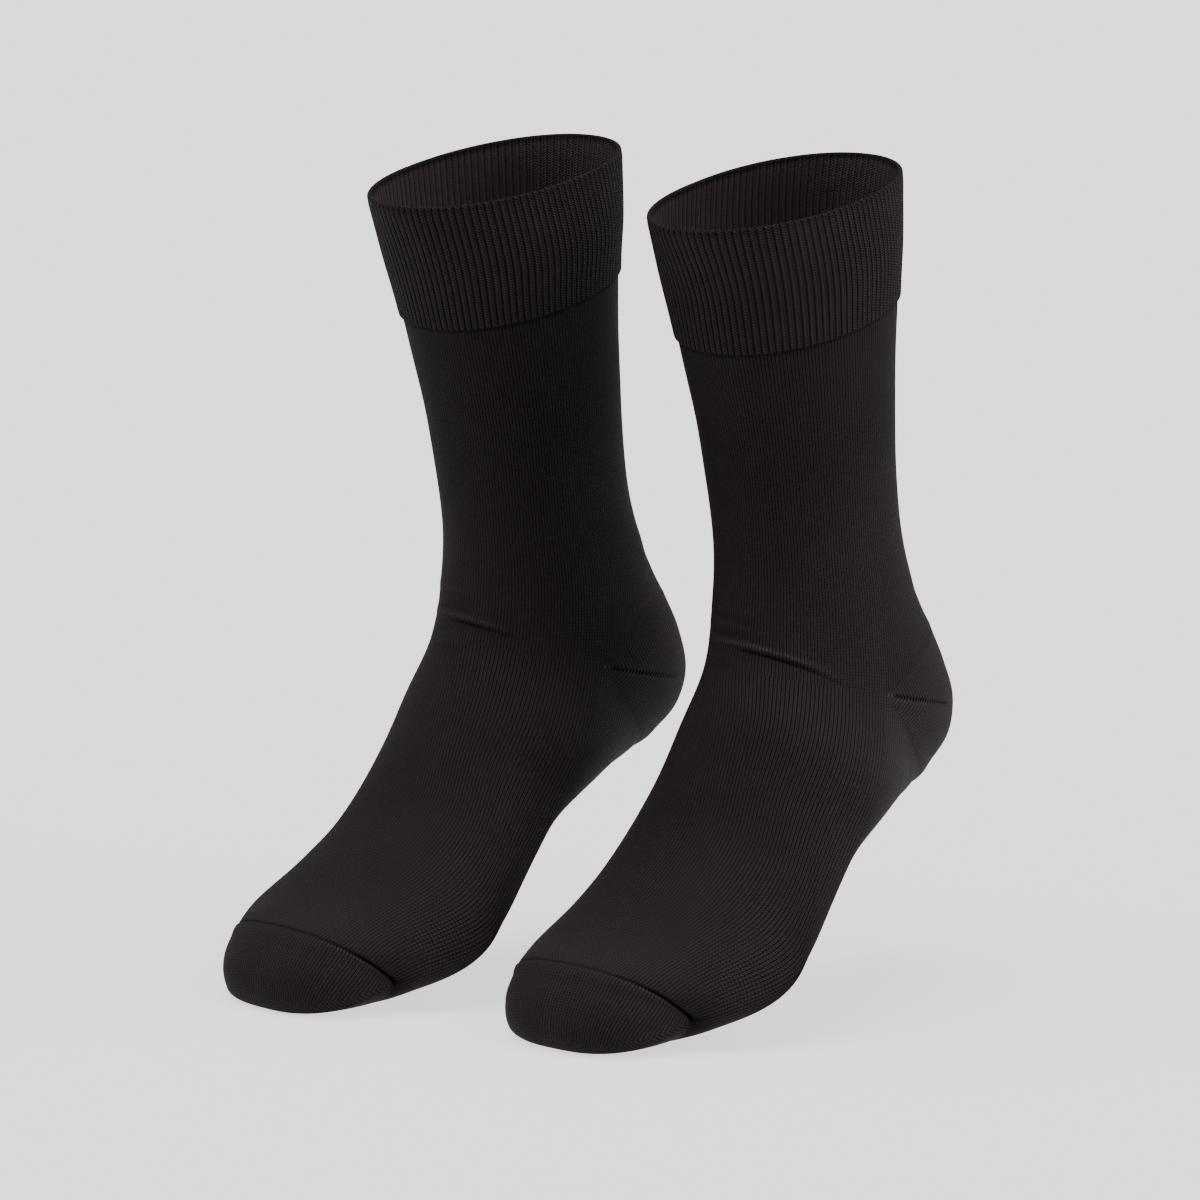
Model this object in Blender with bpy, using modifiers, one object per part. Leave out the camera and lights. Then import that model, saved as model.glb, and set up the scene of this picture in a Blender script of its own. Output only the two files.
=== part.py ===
"""A pair of plain knitted socks, filled out as on the foot, each on its forefoot with the heel lifted.

Every sock is lofted from its own short table of sections, each a ring through a front point, a widest
point at either side and a back point. The heel and the toe are pockets: fans of half rings that
turn about one point at each side, as the knitted pockets do. Sizes are in millimetres in the
sock's own frame, with the toes towards -Y and the floor at z = 0, and become metres in the mesh.
"""
import math
from collections import namedtuple

import bmesh
import bpy
from mathutils import Vector

MM = 0.001

WALL = 1.2              # knitted cloth of the leg, heel, foot and toe
CUFF_WALL = 2.2         # the cuff is knitted double
CUFF_PROUD = 1.0        # how far the cuff stands out from the leg
SEAM_GAP = 0.6          # between neighbouring pieces outside, less where the inner edges lean in
RIM_ROUND = 1.1         # rounding of the folded edge at the opening
RIBS = 88               # round the cuff
RIB_HEIGHT = 0.5
COLUMNS = 36            # points round the leg and the foot
POCKET_COLUMNS = 18     # points round a half ring of the heel or the toe
POLE_ANGLE = math.radians(2.0)      # where a pocket's half rings start, past the side point
FLOOR = 0.0

# A section: its three points in the sock's middle plane, half its width, how square its front and
# back quarters are (2 is an ellipse), its shift to the side, and the rows lofted up to the next.
Section = namedtuple("Section", "front_y front_z side_y side_z back_y back_z "
                                "half_width front_square back_square shift rows")

# A pocket's line in the middle plane, between the two rings that it joins.
PocketPoint = namedtuple("PocketPoint", "y z square")

# A sock's form: the sections of its cuff, leg and foot, and the lines of its heel and toe.
Form = namedtuple("Form", "cuff leg foot heel toe")


def with_back(section, point):
    """A section whose back is moved to a pocket's point."""
    return section._replace(back_y=point.y, back_z=point.z, back_square=point.square)


def make_form(cuff, leg, sole_end, foot, heel, toe):
    """A form whose leg starts at the cuff's last section, and whose foot starts at the leg's.

    sole_end is the foot's back point at the ankle's ring, where the heel's pocket meets the sole.
    """
    leg = [cuff[-1]._replace(rows=2), *leg]
    ankle = with_back(leg[-1], sole_end)._replace(rows=4)
    return Form(cuff, leg, [ankle, *foot], heel, toe)


FORMS = {
    "right": make_form(
        cuff=[Section(0, 290.5, 49.5, 299, 101, 308, 39.5, 2.1, 2.1, -0.5, 1),
              Section(10, 268, 54.5, 277, 99.5, 286, 41.5, 2.1, 2.1, -1, 1),
              Section(19, 244, 59, 254, 101.5, 264, 38, 2.1, 2.1, -2.5, 1)],
        leg=[Section(30, 204, 66.5, 213, 103.5, 222, 34.5, 2.1, 2.1, -2.5, 2),
             Section(36.5, 165, 73, 173, 109.5, 181, 32, 2.1, 2.1, -3, 2),
             Section(34.5, 142, 76, 144, 117.5, 155, 33.5, 2.1, 2.1, -2, 4),
             Section(28, 126, 71, 115, 127.5, 136, 35, 2.1, 2.1, 0.5, 1)],
        sole_end=PocketPoint(108.5, 74, 2.3),
        foot=[Section(17.5, 110.5, 49, 90, 70, 69, 42.5, 2.1, 2.4, 7, 3),
              Section(10.5, 91, 31, 67, 25, 50, 45, 2.1, 2.5, 6.5, 2),
              Section(2, 70, 5, 40, 0, 20.5, 49.5, 2.1, 2.6, 6, 2),
              Section(-14, 52.5, -6, 25, -17, 8.5, 52.5, 2.2, 2.6, 1.5, 2),
              Section(-33.5, 38, -30, 16, -28, 2, 47, 2.3, 2.6, -4, 2),
              Section(-57, 30, -35, 11.5, -41, 0, 38.5, 2.4, 2.6, -3, 1)],
        heel=[PocketPoint(136, 120.5, 2.1), PocketPoint(140.5, 103, 2.1),
              PocketPoint(134.5, 89, 2.2), PocketPoint(123, 80, 2.2)],
        toe=[PocketPoint(-62, 0, 2.6), PocketPoint(-66.5, 1.5, 2.4), PocketPoint(-69, 9, 2.3),
             PocketPoint(-67.5, 17, 2.3), PocketPoint(-63, 24.5, 2.3)]),
    "left": make_form(
        cuff=[Section(-3.5, 290.5, 49.5, 299, 101, 308, 39, 2.1, 2.1, 0.5, 1),
              Section(10, 268, 54.5, 277, 99.5, 286, 41.5, 2.1, 2.1, -1.5, 1),
              Section(16.5, 244, 59, 254, 100.5, 264, 38, 2.1, 2.1, -1.5, 1)],
        leg=[Section(30, 204, 66.5, 213, 103, 222, 34.5, 2.1, 2.1, -3, 2),
             Section(36, 165, 73, 173, 108.5, 181, 32, 2.1, 2.1, -3.5, 2),
             Section(34, 142, 76, 144, 116, 155, 33, 2.1, 2.1, -3, 4),
             Section(27.5, 126, 71, 115, 124.5, 136, 35.5, 2.1, 2.1, 0.5, 1)],
        sole_end=PocketPoint(111.5, 69.5, 2.3),
        foot=[Section(17, 111, 49, 90, 71, 66.5, 43.5, 2.1, 2.4, 8, 3),
              Section(10.5, 91, 31, 67, 26.5, 48.5, 46.5, 2.1, 2.5, 7.5, 2),
              Section(2, 70.5, 5, 40, 0.5, 20.5, 51, 2.1, 2.6, 6.5, 2),
              Section(-14, 52.5, -6, 25, -17, 9, 53, 2.2, 2.6, 2.5, 2),
              Section(-33.5, 38, -30, 16, -28, 2.5, 47, 2.3, 2.6, -3.5, 2),
              Section(-58, 30.5, -35, 11.5, -41, 0, 38.5, 2.4, 2.6, -5.5, 1)],
        heel=[PocketPoint(134, 119.5, 2.1), PocketPoint(141, 102.5, 2.1),
              PocketPoint(137, 87, 2.2), PocketPoint(125.5, 76.5, 2.2)],
        toe=[PocketPoint(-62, 0, 2.6), PocketPoint(-67.5, 1.5, 2.4), PocketPoint(-70, 8.5, 2.3),
             PocketPoint(-68.5, 17, 2.3), PocketPoint(-63.5, 25, 2.3)]),
}
HEEL_ROWS = 3           # lofted between two points of a pocket's line
TOE_ROWS = 2

# A fold across the front of the ankle: its height above the ankle's ring, the angles round the leg
# from the front between which it fades in and out, how far it stands out, and half its breadth.
Fold = namedtuple("Fold", "height from_angle to_angle rise breadth")
ANKLE_FOLDS = [
    Fold(10.0, -45, 65, 0.8, 3.0),
    Fold(6.0, -25, 75, -1.0, 3.0),
    Fold(-3.0, -70, 30, -0.5, 3.5),
]

RIGHT_OPENING = (0.0, 49.5, 299.0)      # centre of the cuff's opening, in the sock's frame
LEFT_OFFSET = (117.0, 34.0, 0.0)        # of the left sock from the right one
LEFT_YAW = math.radians(4.9)

BLACK_KNIT = (0.014, 0.012, 0.015, 1.0)
KNIT_ROUGHNESS = {"cuff": 0.85, "leg": 0.8, "heel": 0.82, "foot": 0.8, "toe": 0.82}


# ---------------------------------------------------------------- sections

def spline(a, b, c, d, t):
    """The point t of the way from b to c on a smooth line through a, b, c and d."""
    return [0.5 * (2 * q + (r - p) * t + (2 * p - 5 * q + 4 * r - s) * t ** 2
                   + (3 * q - p - 3 * r + s) * t ** 3)
            for p, q, r, s in zip(a, b, c, d)]


def extend(section, neighbour):
    """The section that lies as far past section as neighbour lies before it."""
    return Section(*[2 * a - b for a, b in zip(section, neighbour)])


def refine(before, sections, after):
    """All the rows of a tube: its sections, and those between them. before and after steer its ends."""
    line = [before, *sections, after]
    rows = []
    for i, section in enumerate(sections[:-1]):
        count = section.rows
        rows += [Section(*spline(*line[i:i + 4], step / count)) for step in range(count)]
    return rows + [sections[-1]]


def quarter_radius(angle, square):
    """Radius at an angle of a rounded square of half width 1."""
    return (abs(math.cos(angle)) ** square + abs(math.sin(angle)) ** square) ** (-1 / square)


def ring_point(section, angle):
    """A section's point at an angle round it: 0 at the front, 90 degrees at +X."""
    front = math.cos(angle) >= 0
    radius = quarter_radius(angle, section.front_square if front else section.back_square)
    end_y, end_z = (section.front_y, section.front_z) if front else (section.back_y, section.back_z)
    along = abs(math.cos(angle)) * radius
    return Vector((section.shift + section.half_width * math.sin(angle) * radius,
                   section.side_y + (end_y - section.side_y) * along,
                   max(FLOOR, section.side_z + (end_z - section.side_z) * along)))


def centre(section):
    """A section's middle, from which its points are pushed out."""
    return Vector((section.shift, section.side_y, section.side_z))


def push(point, section, distance):
    """A section's point moved out from the section's middle, or in where distance is negative."""
    return point + (point - centre(section)).normalized() * distance


# ---------------------------------------------------------------- folds and seams

def fold_rise(angle, height):
    """How far the ankle's folds lift the cloth, at an angle and a height over the ankle's ring."""
    degrees = math.degrees(math.remainder(angle, 2 * math.pi))
    rise = 0.0
    for fold in ANKLE_FOLDS:
        if fold.from_angle < degrees < fold.to_angle:
            across = (degrees - fold.from_angle) / (fold.to_angle - fold.from_angle)
            swell = math.sin(math.pi * across) ** 2
            rise += fold.rise * swell * math.exp(-((height - fold.height) / fold.breadth) ** 2)
    return rise


def pull_back(ring, neighbour):
    """A ring at a seam, moved towards the next ring of its own piece by half the seam's gap."""
    return [point + (other - point).normalized() * (SEAM_GAP / 2)
            for point, other in zip(ring, neighbour)]


def part_at_seams(rings):
    """The rings of a piece, with both ends moved clear of its neighbours."""
    return [pull_back(rings[0], rings[1]), *rings[1:-1], pull_back(rings[-1], rings[-2])]


# ---------------------------------------------------------------- meshes and objects

def material(name, roughness):
    """A plain near-black knit."""
    result = bpy.data.materials.new(name)
    result.use_nodes = True
    shader = result.node_tree.nodes["Principled BSDF"]
    shader.inputs["Base Color"].default_value = BLACK_KNIT
    shader.inputs["Roughness"].default_value = roughness
    shader.inputs["Metallic"].default_value = 0.0
    return result


def loft(name, rings, round_and_round, rings_meet=False):
    """A mesh lofted through rings of points in millimetres, with its faces pointing out.

    round_and_round closes each ring, and rings_meet joins the last ring to the first.
    """
    bm = bmesh.new()
    rows = [[bm.verts.new(point * MM) for point in ring] for ring in rings]
    if rings_meet:
        rows.append(rows[0])
    for upper, lower in zip(rows, rows[1:]):
        columns = list(zip(upper, lower))
        if round_and_round:
            columns.append(columns[0])
        for (a, b), (c, d) in zip(columns, columns[1:]):
            bm.faces.new((a, b, d, c))
    mesh = bpy.data.meshes.new(name)
    bm.to_mesh(mesh)
    bm.free()
    mesh.shade_smooth()
    return mesh


def add_piece(collection, kind, side, mesh, sock, wall=None):
    """Puts a piece's mesh in the scene, under its sock, with its cloth's wall inside it."""
    piece = bpy.data.objects.new(f"{side}_{kind}", mesh)
    piece.data.materials.append(material(f"{side}_{kind}_knit", KNIT_ROUGHNESS[kind]))
    if wall:
        cloth = piece.modifiers.new("cloth", "SOLIDIFY")
        cloth.thickness = wall * MM
        cloth.offset = -1.0
    piece.parent = sock
    collection.objects.link(piece)


def ring_angles(columns):
    """Angles round a whole ring."""
    return [2 * math.pi * i / columns for i in range(columns)]


def pocket_angles():
    """Angles round a pocket's half ring, from the +X side over the back to the other side."""
    first, last = math.pi / 2 + POLE_ANGLE, 3 * math.pi / 2 - POLE_ANGLE
    return [first + (last - first) * i / POCKET_COLUMNS for i in range(POCKET_COLUMNS + 1)]


# ---------------------------------------------------------------- the pieces of a sock

def cuff_mesh(name, form):
    """The double cuff: ribs raised on its outside, a folded round edge on top, and a plain inside."""
    angles = ring_angles(2 * RIBS)
    opening = form.cuff[0]
    sections = refine(extend(opening, form.cuff[1]), form.cuff, form.leg[1])

    def ring(section, out, rib):
        points = [push(ring_point(section, angle), section, out) for angle in angles]
        return [push(point, section, rib * (i % 2)) for i, point in enumerate(points)]

    def wall_side(out, rib):
        """One side of the wall, from just under the folded edge down to the seam."""
        shoulder = [point + down * RIM_ROUND for point in ring(opening, out, rib)]
        rings = [shoulder, *[ring(section, out, rib) for section in sections[1:]]]
        return [*rings[:-1], pull_back(rings[-1], rings[-2])]

    down = (centre(sections[1]) - centre(opening)).normalized()
    folded_edge = ring(opening, CUFF_PROUD - CUFF_WALL / 2, 0.0)
    outside = wall_side(CUFF_PROUD, RIB_HEIGHT)
    inside = wall_side(CUFF_PROUD - CUFF_WALL, 0.0)
    return loft(name, [folded_edge, *outside, *reversed(inside)],
                round_and_round=True, rings_meet=True)


def folded_tube(sections, ankle, sign):
    """Rings of the leg or the foot, with the ankle's folds. sign is 1 above the ankle, -1 below."""
    rings = []
    for section in sections:
        ring = []
        for angle in ring_angles(COLUMNS):
            point = ring_point(section, angle)
            height = sign * (point - ring_point(ankle, angle)).length
            ring.append(push(point, section, fold_rise(angle, height)))
        rings.append(ring)
    return rings


def leg_mesh(name, form):
    """The plain tube from the cuff to the ankle."""
    after = with_back(form.foot[1], form.heel[0])
    sections = refine(form.cuff[1], form.leg, after)
    rings = folded_tube(sections, form.leg[-1], 1)
    return loft(name, part_at_seams(rings), round_and_round=True)


def foot_mesh(name, form):
    """The plain tube over the instep and under the sole, from the ankle to the toes' seam."""
    tip = form.toe[-1]
    before = with_back(form.leg[-2], form.heel[-1])
    after = with_back(extend(form.foot[-1], form.foot[-2]), form.toe[0])
    after = after._replace(front_y=tip.y, front_z=tip.z, front_square=tip.square)
    rings = folded_tube(refine(before, form.foot, after), form.foot[0], -1)
    return loft(name, part_at_seams(rings), round_and_round=True)


def pocket_mesh(name, pole, line, rows):
    """A pocket: half rings that turn about the pole section's side points, through a line of points.

    The line's first and last two points belong to its neighbours: they steer its ends.
    """
    rings = []
    for i in range(1, len(line) - 2):
        for step in range(rows):
            y, z, square = spline(*line[i - 1:i + 3], step / rows)
            rings.append(pole._replace(back_y=y, back_z=z, back_square=square))
    y, z, square = line[-2]
    rings.append(pole._replace(back_y=y, back_z=z, back_square=square))
    points = [[ring_point(section, angle) for angle in pocket_angles()] for section in rings]
    return loft(name, part_at_seams(points), round_and_round=False)


def back_of(section):
    """A section's back point, as a point of a pocket's line."""
    return PocketPoint(section.back_y, section.back_z, section.back_square)


def front_of(section):
    """A section's front point, as a point of a pocket's line."""
    return PocketPoint(section.front_y, section.front_z, section.front_square)


def heel_mesh(name, form):
    """The heel pocket, from the back of the ankle's ring round to the sole."""
    line = [back_of(form.leg[-2]), back_of(form.leg[-1]), *form.heel,
            back_of(form.foot[0]), back_of(form.foot[1])]
    return pocket_mesh(name, form.foot[0], line, HEEL_ROWS)


def toe_mesh(name, form):
    """The toe pocket, from the sole round the tip to the seam across the top of the toes."""
    last, before = form.foot[-1], form.foot[-2]
    line = [back_of(before), back_of(last), *form.toe, front_of(last), front_of(before)]
    return pocket_mesh(name, last, line, TOE_ROWS)


def build_sock(collection, side, location, yaw):
    """One sock: an empty that places it, and its five pieces."""
    form = FORMS[side]
    sock = bpy.data.objects.new(f"{side}_sock", None)
    collection.objects.link(sock)
    sock.location = location * MM
    sock.rotation_euler.z = yaw
    add_piece(collection, "cuff", side, cuff_mesh("cuff", form), sock)
    add_piece(collection, "leg", side, leg_mesh("leg", form), sock, WALL)
    add_piece(collection, "heel", side, heel_mesh("heel", form), sock, WALL)
    add_piece(collection, "foot", side, foot_mesh("foot", form), sock, WALL)
    add_piece(collection, "toe", side, toe_mesh("toe", form), sock, WALL)


for old in list(bpy.data.objects):
    bpy.data.objects.remove(old, do_unlink=True)

pair = bpy.data.collections.new("pair_of_socks")
bpy.context.scene.collection.children.link(pair)

origin = Vector(RIGHT_OPENING)
build_sock(pair, "right", -origin, 0.0)
build_sock(pair, "left", Vector(LEFT_OFFSET) - origin, LEFT_YAW)
bpy.context.view_layer.update()
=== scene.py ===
"""Pair of fine black socks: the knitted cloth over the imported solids, and a plain studio stage.

Each sock is worked out in millimetres in its own frame, with the toes towards -Y and the floor at
z = 0, and then placed in the frame's metres. Its cloth runs through the same sections as its solids.
"""
import math
from collections import namedtuple

import bpy
import numpy as np
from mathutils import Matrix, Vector
from mathutils.kdtree import KDTree


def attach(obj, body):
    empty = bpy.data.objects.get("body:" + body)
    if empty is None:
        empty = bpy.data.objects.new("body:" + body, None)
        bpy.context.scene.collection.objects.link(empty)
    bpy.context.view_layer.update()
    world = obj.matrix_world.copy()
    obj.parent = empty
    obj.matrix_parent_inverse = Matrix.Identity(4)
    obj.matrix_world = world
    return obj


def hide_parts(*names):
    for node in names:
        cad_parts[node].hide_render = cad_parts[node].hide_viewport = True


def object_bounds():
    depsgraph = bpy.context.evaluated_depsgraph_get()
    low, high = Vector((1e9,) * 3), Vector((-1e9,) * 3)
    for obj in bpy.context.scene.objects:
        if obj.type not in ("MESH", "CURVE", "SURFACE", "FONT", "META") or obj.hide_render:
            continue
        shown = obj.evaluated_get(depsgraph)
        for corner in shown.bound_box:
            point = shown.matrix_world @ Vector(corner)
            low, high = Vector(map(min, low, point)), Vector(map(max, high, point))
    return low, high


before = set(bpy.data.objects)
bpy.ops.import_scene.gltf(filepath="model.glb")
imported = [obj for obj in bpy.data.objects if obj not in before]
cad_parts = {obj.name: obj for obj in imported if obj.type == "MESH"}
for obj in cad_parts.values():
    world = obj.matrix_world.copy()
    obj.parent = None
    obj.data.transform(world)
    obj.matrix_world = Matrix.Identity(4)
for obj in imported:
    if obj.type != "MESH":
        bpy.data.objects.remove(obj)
solids_low, solids_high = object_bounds()

bl_info = {
    "name": "Pair of Socks",
    "version": (1, 0, 0),
    "blender": (4, 5, 0),
    "location": "3D View > Sidebar > Socks",
    "description": "Knits the cloth of a pair of socks over its solids and sets a studio stage",
    "category": "Object",
}

MM = 0.001
DEGREE = math.pi / 180

# ---------------------------------------------------------------- the form of a sock

# A section: its three points in the sock's middle plane, half its width, how square its front and
# back quarters are (2 is an ellipse), and its shift to the side.
Section = namedtuple("Section", "front_y front_z side_y side_z back_y back_z "
                                "half_width front_square back_square shift")

# A pocket's line in the middle plane, between the two rings that it joins.
PocketPoint = namedtuple("PocketPoint", "y z square")

# A sock's form: the sections of its cuff, leg and foot, and the lines of its heel and toe.
Form = namedtuple("Form", "cuff leg foot heel toe")


def with_back(section, point):
    """A section whose back is moved to a pocket's point."""
    return section._replace(back_y=point.y, back_z=point.z, back_square=point.square)


def make_form(cuff, leg, sole_end, foot, heel, toe):
    """A form whose leg starts at the cuff's last section, and whose foot starts at the leg's.

    sole_end is the foot's back point at the ankle's ring, where the heel's pocket meets the sole.
    """
    leg = [cuff[-1], *leg]
    return Form(cuff, leg, [with_back(leg[-1], sole_end), *foot], heel, toe)


FORMS = {
    "right": make_form(
        cuff=[Section(0, 290.5, 49.5, 299, 101, 308, 39.5, 2.1, 2.1, -0.5),
              Section(10, 268, 54.5, 277, 99.5, 286, 41.5, 2.1, 2.1, -1),
              Section(19, 244, 59, 254, 101.5, 264, 38, 2.1, 2.1, -2.5)],
        leg=[Section(30, 204, 66.5, 213, 103.5, 222, 34.5, 2.1, 2.1, -2.5),
             Section(36.5, 165, 73, 173, 109.5, 181, 32, 2.1, 2.1, -3),
             Section(34.5, 142, 76, 144, 117.5, 155, 33.5, 2.1, 2.1, -2),
             Section(28, 126, 71, 115, 127.5, 136, 35, 2.1, 2.1, 0.5)],
        sole_end=PocketPoint(108.5, 74, 2.3),
        foot=[Section(17.5, 110.5, 49, 90, 70, 69, 42.5, 2.1, 2.4, 7),
              Section(10.5, 91, 31, 67, 25, 50, 45, 2.1, 2.5, 6.5),
              Section(2, 70, 5, 40, 0, 20.5, 49.5, 2.1, 2.6, 6),
              Section(-14, 52.5, -6, 25, -17, 8.5, 52.5, 2.2, 2.6, 1.5),
              Section(-33.5, 38, -30, 16, -28, 2, 47, 2.3, 2.6, -4),
              Section(-57, 30, -35, 11.5, -41, 0, 38.5, 2.4, 2.6, -3)],
        heel=[PocketPoint(136, 120.5, 2.1), PocketPoint(140.5, 103, 2.1),
              PocketPoint(134.5, 89, 2.2), PocketPoint(123, 80, 2.2)],
        toe=[PocketPoint(-62, 0, 2.6), PocketPoint(-66.5, 1.5, 2.4), PocketPoint(-69, 9, 2.3),
             PocketPoint(-67.5, 17, 2.3), PocketPoint(-63, 24.5, 2.3)]),
    "left": make_form(
        cuff=[Section(-3.5, 290.5, 49.5, 299, 101, 308, 39, 2.1, 2.1, 0.5),
              Section(10, 268, 54.5, 277, 99.5, 286, 41.5, 2.1, 2.1, -1.5),
              Section(16.5, 244, 59, 254, 100.5, 264, 38, 2.1, 2.1, -1.5)],
        leg=[Section(30, 204, 66.5, 213, 103, 222, 34.5, 2.1, 2.1, -3),
             Section(36, 165, 73, 173, 108.5, 181, 32, 2.1, 2.1, -3.5),
             Section(34, 142, 76, 144, 116, 155, 33, 2.1, 2.1, -3),
             Section(27.5, 126, 71, 115, 124.5, 136, 35.5, 2.1, 2.1, 0.5)],
        sole_end=PocketPoint(111.5, 69.5, 2.3),
        foot=[Section(17, 111, 49, 90, 71, 66.5, 43.5, 2.1, 2.4, 8),
              Section(10.5, 91, 31, 67, 26.5, 48.5, 46.5, 2.1, 2.5, 7.5),
              Section(2, 70.5, 5, 40, 0.5, 20.5, 51, 2.1, 2.6, 6.5),
              Section(-14, 52.5, -6, 25, -17, 9, 53, 2.2, 2.6, 2.5),
              Section(-33.5, 38, -30, 16, -28, 2.5, 47, 2.3, 2.6, -3.5),
              Section(-58, 30.5, -35, 11.5, -41, 0, 38.5, 2.4, 2.6, -5.5)],
        heel=[PocketPoint(134, 119.5, 2.1), PocketPoint(141, 102.5, 2.1),
              PocketPoint(137, 87, 2.2), PocketPoint(125.5, 76.5, 2.2)],
        toe=[PocketPoint(-62, 0, 2.6), PocketPoint(-67.5, 1.5, 2.4), PocketPoint(-70, 8.5, 2.3),
             PocketPoint(-68.5, 17, 2.3), PocketPoint(-63.5, 25, 2.3)]),
}

FLOOR = 0.0
WALL = 1.2              # cloth of the leg, heel, foot and toe
CUFF_WALL = 2.0         # the cuff is knitted double
CUFF_PROUD = 0.9        # how far the cuff stands out from the leg
RIM_ROUND = 1.1         # rounding of the folded edge at the opening
EDGE_ANGLE = 80 * DEGREE        # the cloth's cut edges are shaded as sharp over this angle
POLE_ANGLE = 0.4 * DEGREE       # where a pocket's half rings start, past the side point

# A crease round the ankle: its height over the ankle's ring at its first angle and how far it has
# dropped at its last one, how far it stands out, half its breadth, and how late it turns down.
Crease = namedtuple("Crease", "from_angle to_angle height drop rise breadth bend")
CREASES = {
    "right": [
        Crease(-50, 65, 10.6, 10.0, 1.0, 1.4, 3),
        Crease(-28, 66, 8.0, 7.5, -1.1, 1.0, 3),
        Crease(-48, 25, 13.5, 1.0, -0.40, 1.6, 1),
        Crease(-60, 40, 20.5, 1.5, 0.35, 1.8, 1),
        Crease(-50, 30, 17.6, 1.2, -0.35, 1.5, 1),
        Crease(-45, 30, -2.4, 1.2, -0.40, 1.3, 1),
        Crease(-40, 20, 2.0, 1.0, 0.30, 1.6, 1),
        Crease(120, 235, 20.0, -1.0, -0.5, 3.5, 1),
        Crease(130, 245, 28.0, 0.5, 0.4, 3.5, 1),
    ],
    "left": [
        Crease(-52, 80, 10.9, 10.9, 1.2, 1.4, 3),
        Crease(-22, 76, 8.7, 12.5, -1.35, 0.85, 3),
        Crease(-48, 30, 14.0, 1.0, -0.45, 1.5, 1),
        Crease(-50, 25, 17.2, 1.5, 0.35, 1.5, 1),
        Crease(-50, 40, 21.0, 4.0, -0.40, 1.6, 1),
        Crease(-45, 25, 1.9, 1.2, -0.40, 1.3, 1),
        Crease(-45, 15, 5.2, 1.0, 0.30, 1.5, 1),
        Crease(120, 225, 18.0, 1.0, -0.5, 3.5, 1),
        Crease(135, 240, 27.0, 1.0, 0.4, 3.5, 1),
    ],
}

RIGHT_OPENING = (0.0, 49.5, 299.0)      # centre of the cuff's opening, in the sock's frame
LEFT_OFFSET = (117.0, 34.0, 0.0)        # of the left sock from the right one
LEFT_YAW = 4.9 * DEGREE

SIDES = ("right", "left")

ANGLE_STEPS = 400       # angles from which evenly spaced ones are read off
LINE_STEPS = 40         # points along each stretch of a pocket's line


def on_section(section, angle):
    """A section's points at angles round it: 0 at the front, 90 degrees at +X."""
    front = np.cos(angle) >= 0
    square = np.where(front, section.front_square, section.back_square)
    radius = (abs(np.cos(angle)) ** square + abs(np.sin(angle)) ** square) ** (-1 / square)
    along = abs(np.cos(angle)) * radius
    end_y = np.where(front, section.front_y, section.back_y)
    end_z = np.where(front, section.front_z, section.back_z)
    return np.stack([section.shift + section.half_width * np.sin(angle) * radius,
                     section.side_y + (end_y - section.side_y) * along,
                     np.maximum(FLOOR, section.side_z + (end_z - section.side_z) * along)], axis=-1)


def spline(a, b, c, d, t):
    """The point t of the way from b to c on a smooth line through a, b, c and d."""
    return [0.5 * (2 * q + (r - p) * t + (2 * p - 5 * q + 4 * r - s) * t ** 2
                   + (3 * q - p - 3 * r + s) * t ** 3)
            for p, q, r, s in zip(a, b, c, d)]


def extend(section, neighbour):
    """The section that lies as far past section as neighbour lies before it."""
    return Section(*[2 * a - b for a, b in zip(section, neighbour)])


def reach(a, b):
    """The longest way between two sections: in front, at the sides or behind."""
    return max(math.hypot(a.front_y - b.front_y, a.front_z - b.front_z),
               math.hypot(a.side_y - b.side_y, a.side_z - b.side_z),
               math.hypot(a.back_y - b.back_y, a.back_z - b.back_z))


def refine(before, sections, after, row_heights):
    """All the rows of a tube, with a row height for each of its stretches.

    before and after steer its ends.
    """
    line = [before, *sections, after]
    rows = []
    for i, row in enumerate(row_heights):
        count = max(1, round(reach(sections[i], sections[i + 1]) / row))
        rows += [Section(*spline(*line[i:i + 4], step / count)) for step in range(count)]
    return rows + [sections[-1]]


def run_along(points):
    """How far along a line each of its points lies."""
    steps = np.linalg.norm(np.diff(points, axis=0), axis=1)
    return np.concatenate([[0.0], np.cumsum(steps)])


def even_angles(section, first, last, steps):
    """Angles from first to last that part a section's line into steps of one length."""
    angle = np.linspace(first, last, ANGLE_STEPS)
    run = run_along(on_section(section, angle))
    return np.interp(np.linspace(0, run[-1], steps + 1), run, angle)


def ring_angles(section, steps):
    """Angles round a whole ring from the -X side over the front, evenly spaced in each half."""
    front = even_angles(section, -math.pi / 2, math.pi / 2, steps // 2)
    back = even_angles(section, math.pi / 2, 3 * math.pi / 2, steps // 2)
    return np.concatenate([front[:-1], back[:-1]])


def outward(points, round_and_round):
    """Unit vectors out of a grid of points, whose rows are rings."""
    if round_and_round:
        along_ring = np.roll(points, -1, axis=1) - np.roll(points, 1, axis=1)
    else:
        along_ring = np.gradient(points, axis=1)
    across = np.cross(np.gradient(points, axis=0), along_ring)
    return across / np.maximum(np.linalg.norm(across, axis=2, keepdims=True), 1e-9)


def smooth_step(low, high, value):
    """0 below low, 1 above high, and a soft rise between."""
    t = np.clip((value - low) / (high - low), 0, 1)
    return t * t * (3 - 2 * t)


def near(distance, half_breadth, power=2):
    """1 on a line, and a soft fall to 0 on both of its sides."""
    return np.exp(-(distance / half_breadth) ** power)


def crease_rise(side, angle, height):
    """How far a sock's creases lift the cloth, at angles and heights over the ankle's ring."""
    degrees = np.degrees(angle)
    rise = np.zeros_like(degrees)
    for crease in CREASES[side]:
        across = (degrees - crease.from_angle) / (crease.to_angle - crease.from_angle)
        across = np.clip(across, 0, 1)
        middle = crease.height - crease.drop * across ** crease.bend
        swell = np.sin(math.pi * across) ** 2
        rise += crease.rise * swell * near(height - middle, crease.breadth)
    return rise


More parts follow.
